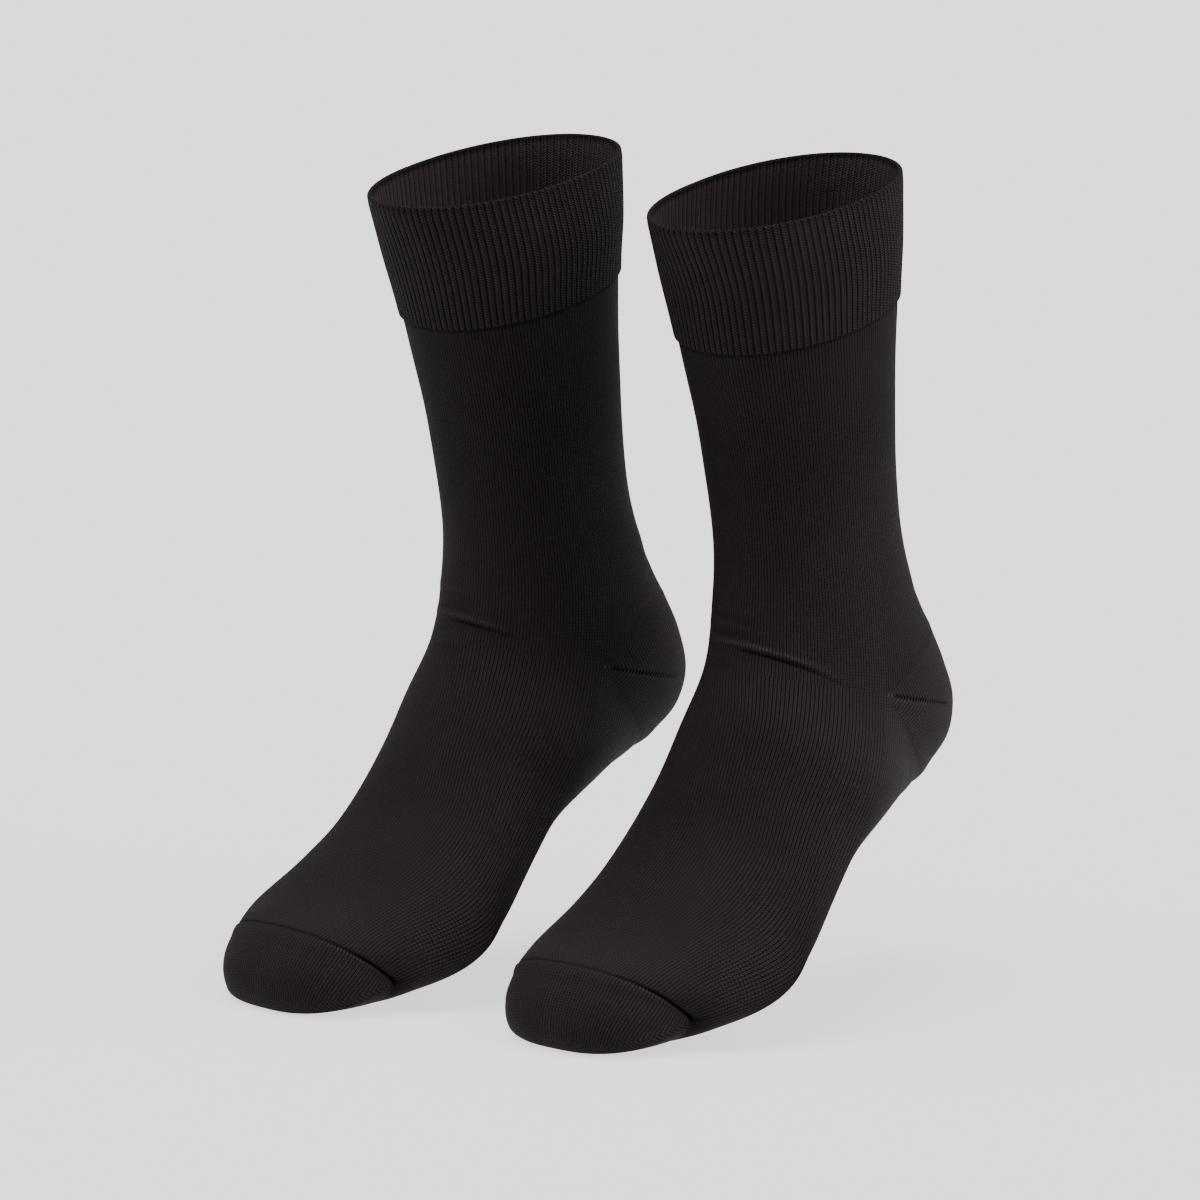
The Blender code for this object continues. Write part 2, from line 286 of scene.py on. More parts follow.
def unevenness(points):
    """The cloth's slight waviness, in millimetres."""
    x, y, z = np.moveaxis(points, -1, 0)
    return (0.10 * np.sin(x / 9.0 + z / 17.0) * np.sin(z / 12.5 - y / 21.0)
            + 0.06 * np.sin(x / 5.1 - y / 6.3 + 1.7) * np.sin(z / 7.7 + 0.6))


# ---------------------------------------------------------------- settings

class KnitSettings(bpy.types.PropertyGroup):
    """Gauge and relief of the knitted cloth."""
    ribs: bpy.props.IntProperty(
        name="Ribs", description="Ribs round the cuff", default=104, min=20)
    rib_relief: bpy.props.FloatProperty(
        name="Rib relief", description="Depth of the grooves between ribs",
        default=0.28 * MM, subtype="DISTANCE", unit="LENGTH", precision=5)
    leg_wales: bpy.props.IntProperty(
        name="Leg wales", description="Columns of stitches round the leg and the heel",
        default=192, min=40)
    foot_wales: bpy.props.IntProperty(
        name="Foot wales", description="Columns of stitches round the foot and the toes",
        default=164, min=40)
    course: bpy.props.FloatProperty(
        name="Course", description="Height of one row of stitches",
        default=1.02 * MM, subtype="DISTANCE", unit="LENGTH", precision=5)
    stitch_relief: bpy.props.FloatProperty(
        name="Stitch relief", description="How far the stitches stand out in the shading",
        default=0.22 * MM, subtype="DISTANCE", unit="LENGTH", precision=5)
    yarn: bpy.props.FloatVectorProperty(
        name="Yarn", description="Colour of the yarn on top of the stitches",
        default=(0.0225, 0.0158, 0.0199), subtype="COLOR", min=0, max=1)
    # paler colour for the seams' thread, and for painted light: painted highlight on crests and
    # folds, and painted light inside the cuff
    pale_thread_and_painted_light: bpy.props.FloatVectorProperty(
        name="Pale yarn", description="Colour inside the cuff and on threads that stand out",
        default=(0.0750, 0.0560, 0.0670), subtype="COLOR", min=0, max=1)
    shade: bpy.props.FloatVectorProperty(
        name="Shade", description="Colour between the stitches",
        default=(0.0018, 0.0010, 0.0014), subtype="COLOR", min=0, max=1)


class StageSettings(bpy.types.PropertyGroup):
    """Floor, light and camera."""
    floor_colour: bpy.props.FloatVectorProperty(
        name="Floor", description="Colour of the floor",
        default=(0.24, 0.24, 0.245), subtype="COLOR", min=0, max=1)
    floor_glow: bpy.props.FloatProperty(
        name="Floor glow", description="Light of the lit table under the floor", default=1.34)
    key_strength: bpy.props.FloatProperty(
        name="Key light", description="Strength of the large soft light", default=5.0)
    light_angle: bpy.props.FloatProperty(
        name="Softness", description="How wide both lights look from the socks",
        default=45 * DEGREE, subtype="ANGLE", unit="ROTATION")
    key_from: bpy.props.FloatVectorProperty(
        name="Key direction", description="Where the large soft light comes from",
        default=(-0.08, -0.14, 0.99), subtype="DIRECTION")
    fill_strength: bpy.props.FloatProperty(
        name="Fill light", description="Strength of the light from the right", default=3.0)
    fill_from: bpy.props.FloatVectorProperty(
        name="Fill direction", description="Where the light from the right comes from",
        default=(0.66, 0.38, 0.64), subtype="DIRECTION")
    sky: bpy.props.FloatProperty(
        name="Sky", description="Strength of the even light from all round", default=0.45)
    azimuth: bpy.props.FloatProperty(
        name="Azimuth", description="Camera's direction round the socks",
        default=45.8 * DEGREE, subtype="ANGLE", unit="ROTATION")
    elevation: bpy.props.FloatProperty(
        name="Elevation", description="Camera's angle over the horizon",
        default=10.5 * DEGREE, subtype="ANGLE", unit="ROTATION")
    distance: bpy.props.FloatProperty(
        name="Distance", description="From the camera to the point it looks at",
        default=2.7, subtype="DISTANCE", unit="LENGTH")
    lens: bpy.props.FloatProperty(
        name="Lens", description="Focal length in millimetres", default=230.1)
    target: bpy.props.FloatVectorProperty(
        name="Target", description="The point that the camera looks at",
        default=(0.1483, -0.0895, -0.1293), subtype="TRANSLATION", unit="LENGTH")


# ---------------------------------------------------------------- shaders

class Wire:
    """A shader socket. Sums, products and the like of wires and numbers add their Math nodes."""

    def __init__(self, tree, socket=None):
        self.tree = tree
        self.socket = socket

    def node(self, kind, settings, inputs, output=0):
        """Adds a node: its settings first, then the values or wires of its sockets."""
        new = self.tree.nodes.new(kind)
        for name, value in settings.items():
            setattr(new, name, value)
        for key, value in inputs.items():
            if isinstance(value, Wire):
                self.tree.links.new(value.socket, new.inputs[key])
            else:
                new.inputs[key].default_value = value
        return Wire(self.tree, new.outputs[output]) if new.outputs else None

    def math(self, operation, *values):
        return self.node("ShaderNodeMath", {"operation": operation}, dict(enumerate(values)))

    def __add__(self, other):
        return self.math("ADD", self, other)

    def __radd__(self, other):
        return self.math("ADD", other, self)

    def __sub__(self, other):
        return self.math("SUBTRACT", self, other)

    def __rsub__(self, other):
        return self.math("SUBTRACT", other, self)

    def __mul__(self, other):
        return self.math("MULTIPLY", self, other)

    def __rmul__(self, other):
        return self.math("MULTIPLY", other, self)

    def __pow__(self, other):
        return self.math("POWER", self, other)

    def __abs__(self):
        return self.math("ABSOLUTE", self)

    def fraction(self):
        return self.math("FRACT", self)

    def sine(self):
        return self.math("SINE", self)

    def at_most(self, limit):
        return self.math("MINIMUM", self, limit)

    def at_least(self, limit):
        return self.math("MAXIMUM", self, limit)

    def wave(self):
        """1 at whole numbers and 0 half way between them."""
        return 0.5 + 0.5 * (self * (2 * math.pi) + math.pi / 2).sine()

    def limited(self):
        return self.at_least(0.0).at_most(1.0)

    def part(self, axis):
        """One number of a vector."""
        return self.node("ShaderNodeSeparateXYZ", {}, {0: self}, axis)

    def between(self, low, high):
        """A colour from low to high as the wire goes from 0 to 1."""
        return self.node("ShaderNodeMix", {"data_type": "RGBA"},
                         {"Factor": self, 6: low, 7: high}, 2)


# How a stitch is drawn: the share of its breadth that the left leg takes, how far its legs slant
# (in courses), how deep the gaps between courses are, how much painted shade darkens the right leg
# from its start, as if the light came from the left, how much lighter the whole is, and how much
# painted highlight shows on its crest.
Stitch = namedtuple("Stitch", "split slant depth shadow lighter shine")
PLAIN = Stitch(split=0.5, slant=0.8, depth=0.5, shadow=0.0, lighter=0.0, shine=0.08)
RIBBED = Stitch(split=0.6, slant=1.2, depth=0.85, shadow=0.2, lighter=0.09, shine=0.22)

FUZZ_SCALE = 1500.0     # of the nap's fibres
FUZZ_SHIFT = 0.25       # how far they shift a stitch, in courses
FUZZ_LIGHT = 0.4        # how much they lighten and darken the yarn, times the contrast
FUZZ_RISE = 0.2         # their height beside the stitches'
MOTTLE_SCALE = 55.0     # of the yarn's lighter and darker patches
MOTTLE_LIGHT = 0.25     # how much lighter and darker they are
WALE_GAP = 0.1          # height left in the gap between two wales
LEG_GAP = 0.15          # height left in the gap between a stitch's legs
MEAN_HEIGHT = 0.365     # the stitches' height where the yarn has its mean light
MEAN_LIGHT = 0.38       # that light: 0 is the shade's colour and 1 the yarn's
SHINE_FROM = 0.9        # the light over which crests get a painted highlight


def knit_material(name, stitch, contrast):
    """Fine knitted cloth: V stitches in wales and courses, a soft nap, and seams with their holes.

    The mesh's knit attribute holds the wale, the course and the tone, which is over 0 where the
    cloth
    is darker: painted shade in folds, along seams and under the cuff, and a darker rim and upper
    leg;
    and under 0 where it is paler: painted highlight on folds' crests and painted light inside the
    cuff.
    Its seam attribute holds the number of the seam's stitch, how open its holes are and how far its
    thread shows. contrast is how clearly the stitches stand apart.
    """
    knit = bpy.context.scene.sock_knit
    material = bpy.data.materials.new(name)
    material.use_nodes = True
    tree = material.node_tree
    tree.nodes.clear()
    start = Wire(tree)
    gauge = start.node("ShaderNodeAttribute", {"attribute_name": "knit"}, {}, "Vector")
    wale, course, tone = (gauge.part(axis) for axis in range(3))
    seam = start.node("ShaderNodeAttribute", {"attribute_name": "seam"}, {}, "Vector")
    seam_stitch, open_holes, thread = (seam.part(axis) for axis in range(3))
    place = start.node("ShaderNodeTexCoord", {}, {}, "Object")
    fuzz = start.node("ShaderNodeTexNoise", {}, {
        "Vector": place, "Scale": FUZZ_SCALE, "Detail": 2.0}) - 0.5
    mottle = start.node("ShaderNodeTexNoise", {}, {
        "Vector": place, "Scale": MOTTLE_SCALE, "Detail": 3.0}) - 0.5

    across = wale.fraction()
    left = (across * (1 / stitch.split)).at_most(1.0)
    right = ((across - stitch.split) * (1 / (1 - stitch.split))).at_least(0.0)
    legs = (left + right) * 0.5
    from_middle = abs(legs - 0.5) * 2.0
    leg = abs((legs * (2 * math.pi)).sine()) ** 0.5
    crest = (legs * math.pi).sine() ** 0.8
    row = (course + from_middle * stitch.slant + fuzz * FUZZ_SHIFT).wave()
    height = ((WALE_GAP + crest * (1 - WALE_GAP)) * (LEG_GAP + leg * (1 - LEG_GAP))
              * ((1 - stitch.depth) + row * stitch.depth))

    # painted shade on each stitch's right leg, as if the light came from the left
    dimmer = 1.0 - (right * 4.0).limited() * stitch.shadow
    light = MEAN_LIGHT + (height * dimmer - MEAN_HEIGHT + stitch.lighter) * contrast
    lit = (light + mottle * MOTTLE_LIGHT + fuzz * (FUZZ_LIGHT * contrast)).limited()
    hole = (open_holes * seam_stitch.wave() ** 2.0).limited()
    # the seams' holes, and the tone's darkening: painted shade in folds, along seams and under the
    # cuff, and the darker rim and upper leg
    dark = (hole + tone).limited()
    # painted highlight on the lightest crests
    shine = (light - SHINE_FROM).limited() * stitch.shine
    # the seams' pale thread, the painted highlight, and the tone's lightening: painted highlight on
    # folds' crests and painted light inside the cuff
    pale = (thread * (seam_stitch + 0.5).wave() ** 1.5 + shine - tone).limited()

    bump = start.node("ShaderNodeBump", {}, {
        "Strength": 1.0, "Distance": knit.stitch_relief * (0.5 + 0.6 * contrast),
        "Height": height + fuzz * FUZZ_RISE - hole})
    colour = lit.between((*knit.shade, 1.0), (*knit.yarn, 1.0))
    thread_and_painted_light_colour = lit.between((*knit.yarn, 1.0), (*knit.pale_thread_and_painted_light, 1.0))
    yarn = start.node("ShaderNodeBsdfPrincipled", {}, {
        "Base Color": pale.between(colour, thread_and_painted_light_colour),
        "Roughness": 0.85 - lit * 0.2,
        "Normal": bump,
        "Specular IOR Level": 0.05,
        "Sheen Weight": 0.008,
        "Sheen Roughness": 0.4,
        "Sheen Tint": (0.85, 0.68, 0.85, 1.0)})
    # near black, for the seams' holes and for painted shade
    gap = start.node("ShaderNodeBsdfDiffuse", {}, {"Color": (0.0006, 0.0005, 0.0006, 1.0)})
    cloth = start.node("ShaderNodeMixShader", {}, {"Fac": dark, 1: yarn, 2: gap})
    start.node("ShaderNodeOutputMaterial", {}, {"Surface": cloth})
    return material


# ---------------------------------------------------------------- meshes and objects

def cloth_mesh(name, points, knit, round_and_round):
    """A mesh of a grid of points in metres, whose last row joins the first.

    Its corners hold the knit's and the seam's numbers. Where the rings are round, those grids have
    one more column.
    """
    rows, columns = points.shape[:2]
    i, j = np.meshgrid(np.arange(rows), np.arange(columns if round_and_round else columns - 1),
                       indexing="ij")
    corners = [(i, j), ((i + 1) % rows, j), ((i + 1) % rows, j + 1), (i, j + 1)]
    faces = np.stack([row * columns + column % columns for row, column in corners], axis=-1)
    mesh = bpy.data.meshes.new(name)
    mesh.from_pydata(points.reshape(-1, 3).tolist(), [], faces.reshape(-1, 4).tolist())
    values = np.stack([knit[row, column] for row, column in corners], axis=2).astype(np.float32)
    for attribute, part in (("knit", values[..., :3]), ("seam", values[..., 3:])):
        mesh.attributes.new(attribute, "FLOAT_VECTOR", "CORNER")
        mesh.attributes[attribute].data.foreach_set("vector", part.ravel())
    mesh.shade_smooth()
    return mesh


def placed(side, points):
    """A sock's points in millimetres, in the frame's metres."""
    if side == "left":
        turn = np.array([[math.cos(LEFT_YAW), math.sin(LEFT_YAW), 0.0],
                         [-math.sin(LEFT_YAW), math.cos(LEFT_YAW), 0.0],
                         [0.0, 0.0, 1.0]])
        points = points @ turn + np.array(LEFT_OFFSET)
    return (points - np.array(RIGHT_OPENING)) * MM


def add_piece(side, kind, points, knit, material, rings, round_and_round=True):
    """Puts a piece of cloth in the scene in place of its solid."""
    name = f"{side}_{kind}_cloth"
    mesh = cloth_mesh(name, placed(side, points), knit, round_and_round)
    if kind != "cuff":
        mesh.set_sharp_from_angle(angle=EDGE_ANGLE)
    mesh.materials.append(material)
    piece = bpy.data.objects.new(name, mesh)
    piece["outside_rings"] = rings
    piece["round"] = round_and_round
    bpy.context.scene.collection.objects.link(piece)
    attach(piece, "root")
    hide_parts(f"{side}_{kind}")
    return piece


def knit_grid(wale, course, tone=0.0, stitches=0.0, holes=0.0, thread=0.0):
    """The knit's and the seam's six numbers over a grid."""
    return np.stack(np.broadcast_arrays(wale, course, tone, stitches, holes, thread), axis=-1)


def courses(points):
    """The course of each row of a grid, from the mean way between rows."""
    knit = bpy.context.scene.sock_knit
    steps = np.linalg.norm(np.diff(points, axis=0), axis=2).mean(axis=1)
    return np.concatenate([[0.0], np.cumsum(steps)])[:, None] / (knit.course / MM)


# ---------------------------------------------------------------- the pieces of a sock

RIB_STEPS = 10          # points across a rib
WALE_STEPS = 2          # points across a wale of the leg and the foot
POCKET_STEPS = 3        # points across a wale of the heel and the toe
HEEL_ROWS = 60          # half rings of the heel
TOE_ROWS = 64           # half rings of the toe
RIM_STEPS = 6           # steps round the cuff's folded edge
ROW = 2.2               # between rings of the cuff, the leg and the foot
FINE_ROW = 1.1          # next to the ankle
CREASE_ROW = 0.6        # where the leg's creases, the cuff's turned edge and the toes' seam are
INNER_ROW = 11.0        # between rings of the cloth's inside

HEM = 1.2               # turned edge under the cuff
HEM_PROUD = 0.1         # how far that edge still stands out from the leg
HEM_SHADE = 0.5          # painted shade on its last half millimetre, where it turns under
RIM_TONE = 0.15         # tone of the folded edge at the opening
RIM_COURSES = 2.4       # courses over that edge
RIM_RIBS = 0.1          # share of the ribs' relief on that edge
RIB_FADE = 3.0          # under the edge, the relief grows to the whole over this way
INSIDE_RIBS = 0.5       # share of the relief on the inside
INSIDE_PAINTED_LIGHT = 0.9       # painted light inside the cuff: how much paler it is there
FOLD_SHADE_AND_HIGHLIGHT = 0.35        # painted shade for each millimetre of a crease's hollow, and painted highlight for each of its crest
SLIGHT_HOLLOW = 0.1     # a hollow that is no deeper gets no painted shade
SLIGHT_CREST = 0.15     # and a crest that stands out no further gets no painted highlight
LEG_TONE = 0.15         # tone of the leg's upper part
LEG_FADE = (40, 90)     # between these ways under the cuff, that tone fades
DENT_AT = 0.015         # the dents at the ends of the toes' seam, as a share of the way across
JOIN_REACH = 12 * MM    # how far from a join the shading is smoothed

# A line that runs along a seam: its strength, how far from the seam it lies and half its breadth.
Trim = namedtuple("Trim", "strength away breadth")
CUFF_SHADOW = Trim(0.4, 0.0, 1.0)       # on the leg, right under the cuff
SEAM_GROOVE = Trim(0.5, 0.0, 0.5)       # the seam across the toes, on the toe pocket
SEAM_SHADE = Trim(0.8, 0.0, 0.45)
SEAM_LIP = Trim(0.22, 1.2, 0.55)
SEAM_HOLES = Trim(1.6, 0.35, 0.45)
SEAM_THREAD = Trim(0.5, 1.2, 0.45)
SEAM_SHOWN = Trim(1.0, 0.45, 0.22)      # its holes and thread, in shares of the way from an end
SEAM_DENT = Trim(0.9, 0.0, 1.6)         # at its two ends, on the toe and the foot
FOOT_GROOVE = Trim(0.5, 0.0, 0.6)       # the same seam, on the foot
FOOT_SHADE = Trim(0.8, 0.0, 0.5)
GORE_GROOVE = Trim(0.22, 0.0, 0.6)      # the line where the heel's two halves meet
GORE_HOLES = Trim(1.2, 0.0, 0.8)
GORE_THREAD = Trim(0.35, 1.3, 0.5)
GORE_START = Trim(0.6, 0.0, 0.035)      # thread at its end, in shares of the way round

SEAM_MIDDLE = 0.72      # strength of the toes' seam in its middle
SEAM_EXTRA = 0.28       # how much stronger it is at its ends
SEAM_ENDS = (0.08, 0.26)        # between these shares of the way across, that goes
GORE_FROM = (0.03, 0.07)        # between these shares of the way round, the heel's line begins
GORE_TO = (0.5, 0.62)           # and between these it ends

SEAM_STITCH = 1.3       # from one stitch of the toes' seam to the next
SEAM_SLANT = 0.3        # how far that stitch slants, in stitches a millimetre
GORE_STITCH = 1.9       # from one hole of the heel's line to the next
GORE_SLANT = 0.35       # how far that hole slants, in stitches a millimetre

# What a seam makes of a pocket: its lift, its tone (painted shade along the seam), and the seam's
# three numbers.
Seam = namedtuple("Seam", "lift tone stitches holes thread")


def beside(trim, distance, power=2):
    """How strong a trim is at distances from its seam."""
    return trim.strength * near(distance - trim.away, trim.breadth, power)


def rib_ridge(across):
    """How far a rib stands out, 0 to 1, at shares of its breadth."""
    left = across / RIBBED.split
    right = 1 + (across - RIBBED.split) / (1 - RIBBED.split)
    legs = np.where(across < RIBBED.split, left, right)
    return 0.5 * np.sin(math.pi * legs / 2) ** 0.3 + 0.5 * abs(np.sin(math.pi * legs)) ** 0.5


def cuff_rim(base, out, ridge):
    """The rings of the cuff's folded edge, from the inside over the top."""
    up = (base[0] - base[1]) / np.linalg.norm(base[0] - base[1], axis=1, keepdims=True)
    half = CUFF_WALL / 2
    rings = []
    for angle in np.linspace(math.pi, 0, RIM_STEPS + 1)[1:-1]:
        along = CUFF_PROUD - half + (half + ridge.T * RIM_RIBS) * math.cos(angle)
        rings.append(base[0] + out[0] * along + up * RIM_ROUND * math.sin(angle))
    return np.stack(rings)


def cuff_cloth(side, material):
    """The double cuff: ribs outside and in, a rounded edge on top and a turned edge below."""
    knit = bpy.context.scene.sock_knit
    form = FORMS[side]
    before = extend(form.cuff[0], form.cuff[1])
    sections = refine(before, form.cuff, form.leg[1], [ROW, CREASE_ROW])
    columns = knit.ribs * RIB_STEPS
    base = np.stack([on_section(s, ring_angles(s, columns)) for s in sections])
    out = outward(base, True)
    rib = np.arange(columns + 1)[None, :] / RIB_STEPS
    ridge = knit.rib_relief / MM * rib_ridge(rib[:, :-1] % 1)
    course = courses(base)
    from_top = course * knit.course / MM
    from_hem = from_top - from_top[-1]

    fade = RIM_RIBS + (1 - RIM_RIBS) * smooth_step(0.0, RIB_FADE, from_top)
    turn = 1 - np.sqrt(1 - smooth_step(-HEM, 0.0, from_hem) ** 2)
    outer_lift = CUFF_PROUD + ridge * fade - (CUFF_PROUD - HEM_PROUD) * turn
    inner_lift = CUFF_PROUD - CUFF_WALL - ridge * INSIDE_RIBS * fade
    outer = base + out * outer_lift[:, :, None]
    inner = base + out * inner_lift[:, :, None]
    rim = cuff_rim(base, out, ridge)
    rows = [0, 1, *inner_rows(len(base))[1:]]
    points = np.concatenate([rim, outer, inner[rows][::-1]])

    rim_course = np.linspace(-RIM_COURSES, 0, len(rim) + 2)[1:-1, None]
    # painted shade on the turned edge's last half millimetre, and the darker rim
    outer_tone = (RIM_TONE * (1 - smooth_step(0.0, 1.0, from_top))
                  + HEM_SHADE * smooth_step(-0.5, 0.0, from_hem))
    # painted light inside the cuff, growing under the rim
    inner_tone = RIM_TONE - INSIDE_PAINTED_LIGHT * smooth_step(0.0, 1.5, from_top)
    grid = np.concatenate([knit_grid(rib, rim_course, RIM_TONE),
                           knit_grid(rib, course, outer_tone),
                           knit_grid(rib, course, inner_tone)[rows][::-1]])
    add_piece(side, "cuff", points, grid, material, rings=base.shape[:2])


def tube_cloth(side, sections, wales, ankle_row, sign):
    """Grid, directions, lifts, wales and fold tones, painted shade and highlight, of the leg or the
    foot.

    sign is 1 for rows over the ankle's and -1 for rows under it.
    """
    columns = wales * WALE_STEPS
    angles = np.stack([ring_angles(s, columns) for s in sections])
    base = np.stack([on_section(s, a) for s, a in zip(sections, angles)])
    wale = np.arange(columns + 1)[None, :] / WALE_STEPS
    height = sign * np.linalg.norm(base - base[ankle_row], axis=2)
    folds = crease_rise(side, angles, height)
    # painted shade in the creases' hollows and painted highlight on their crests
    hollow = np.clip(-folds - SLIGHT_HOLLOW, 0.0, 1.2)
    crest = np.clip(folds - SLIGHT_CREST, 0.0, 1.0)
    tone = closed(FOLD_SHADE_AND_HIGHLIGHT * (hollow - crest))
    return base, outward(base, True), folds + unevenness(base), wale, tone


def closed(values):
    """Values round rings, with the first column repeated at the end."""
    return np.concatenate([values, values[:, :1]], axis=1)


def inner_rows(count):
    """Every few rows of a grid's outside, for its inside."""
    step = round(INNER_ROW / ROW)
    return [*range(0, count - 1, step), count - 1]


def walled(base, out, lift, grid):
    """One closed wall: the outside's rings, then the inside's in turned order, with their knit."""
    outer = base + out * lift[:, :, None]
    outer[:, :, 2] = np.maximum(outer[:, :, 2], FLOOR)
    rows = inner_rows(len(base))
    inner = (base - out * WALL)[rows]
    return np.concatenate([outer, inner[::-1]]), np.concatenate([grid, grid[rows][::-1]])


def leg_cloth(side, material):
    """The plain tube from the cuff to the ankle."""
    form = FORMS[side]
    after = with_back(form.foot[1], form.heel[0])
    sections = refine(form.cuff[1], form.leg, after, [ROW, ROW, FINE_ROW, CREASE_ROW])
    wales = bpy.context.scene.sock_knit.leg_wales
    base, out, lift, wale, tone = tube_cloth(side, sections, wales, -1, 1)
    under_cuff = closed(np.linalg.norm(base - base[0], axis=2))
    tone = tone + beside(CUFF_SHADOW, under_cuff)
    tone = tone + LEG_TONE * (1 - smooth_step(*LEG_FADE, under_cuff))
    points, grid = walled(base, out, lift, knit_grid(wale, courses(base), tone))
    add_piece(side, "leg", points, grid, material, rings=lift.shape)


def seam_strength(turn):
    """How deep the toes' seam lies, 0 to 1, for turns of 0 to 1 across the toes from -X."""
    from_end = np.minimum(turn, 1 - turn)
    return SEAM_MIDDLE + SEAM_EXTRA * (1 - smooth_step(*SEAM_ENDS, from_end))


def foot_cloth(side, material):
    """The plain tube over the instep and under the sole, from the ankle to the toes' seam."""
    form = FORMS[side]
    tip = form.toe[-1]
    before = with_back(form.leg[-2], form.heel[-1])
    after = with_back(extend(form.foot[-1], form.foot[-2]), form.toe[0])
    after = after._replace(front_y=tip.y, front_z=tip.z, front_square=tip.square)
    sections = refine(before, form.foot, after, [FINE_ROW, ROW, ROW, ROW, ROW, CREASE_ROW])
    wales = bpy.context.scene.sock_knit.foot_wales
    base, out, lift, wale, tone = tube_cloth(side, sections, wales, 0, -1)
    to_seam = np.linalg.norm(base - base[-1], axis=2)
    turn = 2 * wale[:, :-1] / wales
    over_toes = smooth_step(0.0, 0.02, turn) * (1 - smooth_step(0.98, 1.0, turn))
    strength = over_toes * seam_strength(turn)
    dent = near(turn - DENT_AT, DENT_AT) + near(turn - (1 - DENT_AT), DENT_AT)
    lift = lift - strength * beside(FOOT_GROOVE, to_seam) - dent * beside(SEAM_DENT, to_seam)
    # painted shade along the seam's groove
    tone = tone + closed(strength ** 2 * beside(FOOT_SHADE, to_seam))
    points, grid = walled(base, out, lift, knit_grid(wale, courses(base), tone))
    add_piece(side, "foot", points, grid, material, rings=lift.shape)


def toe_seam(base, share, lift):
    """The linked seam over the toes, on the pocket's last half ring."""
    from_side = np.minimum(share, 2 - share)
    to_seam = np.linalg.norm(base - base[-1], axis=2)
    strength = seam_strength(share / 2)
    dent = near(from_side, 2 * DENT_AT)
    shown = beside(SEAM_SHOWN, from_side)
    lift = (lift - strength * beside(SEAM_GROOVE, to_seam) + beside(SEAM_LIP, to_seam)
            - dent * beside(SEAM_DENT, to_seam))
    # the tone is painted shade along the seam's groove
    return Seam(lift,
                tone=strength ** 2 * beside(SEAM_SHADE, to_seam),
                stitches=run_along(base[-1])[None, :] / SEAM_STITCH + to_seam * SEAM_SLANT,
                holes=shown * beside(SEAM_HOLES, to_seam),
                thread=shown * beside(SEAM_THREAD, to_seam))


def heel_gore(base, share, lift):
    """The line of holes where the heel's two halves meet, from each side part of the way round."""
    from_side = np.minimum(share, 2 - share)
    middle = len(base) // 2
    to_gore = np.linalg.norm(base - base[middle], axis=2)
    past_gore = to_gore * np.where(np.arange(len(base))[:, None] < middle, -1.0, 1.0)
    shown = smooth_step(*GORE_FROM, from_side) * (1 - smooth_step(*GORE_TO, from_side))
    return Seam(lift - shown * beside(GORE_GROOVE, to_gore),
                tone=0.0,
                stitches=run_along(base[middle])[None, :] / GORE_STITCH + past_gore * GORE_SLANT,
                holes=shown * beside(GORE_HOLES, to_gore, power=4),
                thread=shown * beside(GORE_THREAD, past_gore) + beside(GORE_START, from_side))


def pocket_rings(pole, line, rows):
    """The sections of a pocket's half rings, and how far each has turned about the side points.

    The middle one is half way round, at the gore.
    """
    fine = []
    for i in range(1, len(line) - 2):
        fine += [spline(*line[i - 1:i + 3], step / LINE_STEPS) for step in range(LINE_STEPS)]
    fine = np.array(fine + [list(line[-2])])
    turn = np.unwrap(np.arctan2(fine[:, 1] - pole.side_z, fine[:, 0] - pole.side_y))
    run = run_along(fine[:, :2])
    sense = 1 if turn[-1] > turn[0] else -1
    gore_run = np.interp(sense * (turn[0] + turn[-1]) / 2, sense * turn, run)
    half = rows // 2
    stops = np.concatenate([np.linspace(0, gore_run, half + 1)[:-1],
                            np.linspace(gore_run, run[-1], rows - half + 1)])
    back_points = zip(*(np.interp(stops, run, column) for column in fine.T))
    rings = [with_back(pole, PocketPoint(*point)) for point in back_points]
    return rings, np.interp(stops, run, turn)


def pocket_wales(turn, share, wales):
    """The wale at each point of a pocket.

    Wales run straight off the rings at both ends and meet at an angle along the gore.
    """
    bend = np.minimum(abs(turn - turn[0]), abs(turn - turn[-1]))[:, None]
    from_side = np.minimum(share, 2 - share)
    kink = (1 - np.cos(bend)) * (1 - smooth_step(0.3, 1.0, from_side))
    inward = from_side * (1 - kink)
    return wales / 4 * np.where(share <= 1, inward, 2 - inward)


def pocket_cloth(side, kind, pole, line, rows, wales, material, seam_of):
    """A pocket: half rings that turn about the pole section's side points, through a line.

    The line's first and last points belong to its neighbours: they steer its ends. rows is even.
    """
    knit = bpy.context.scene.sock_knit
    rings, turn = pocket_rings(pole, line, rows)
    steps = wales // 2 * POCKET_STEPS
    first, last = math.pi / 2 + POLE_ANGLE, 3 * math.pi / 2 - POLE_ANGLE
    base = np.stack([on_section(s, even_angles(s, first, last, steps)) for s in rings])
    share = np.linspace(0, 2, steps + 1)[None, :]
    seam = seam_of(base, share, unevenness(base))
    before_gore = np.arange(len(base))[:, None, None] < rows // 2
    to_ring = np.linalg.norm(base - np.where(before_gore, base[:1], base[-1:]), axis=2)
    grid = knit_grid(pocket_wales(turn, share, wales), to_ring / (knit.course / MM), *seam[1:])
    points, grid = walled(base, outward(base, False), seam.lift, grid)
    add_piece(side, kind, points, grid, material, rings=seam.lift.shape,
              round_and_round=False)


def back_of(section):
    """A section's back point, as a point of a pocket's line."""
    return PocketPoint(section.back_y, section.back_z, section.back_square)


def front_of(section):
    """A section's front point, as a point of a pocket's line."""
    return PocketPoint(section.front_y, section.front_z, section.front_square)


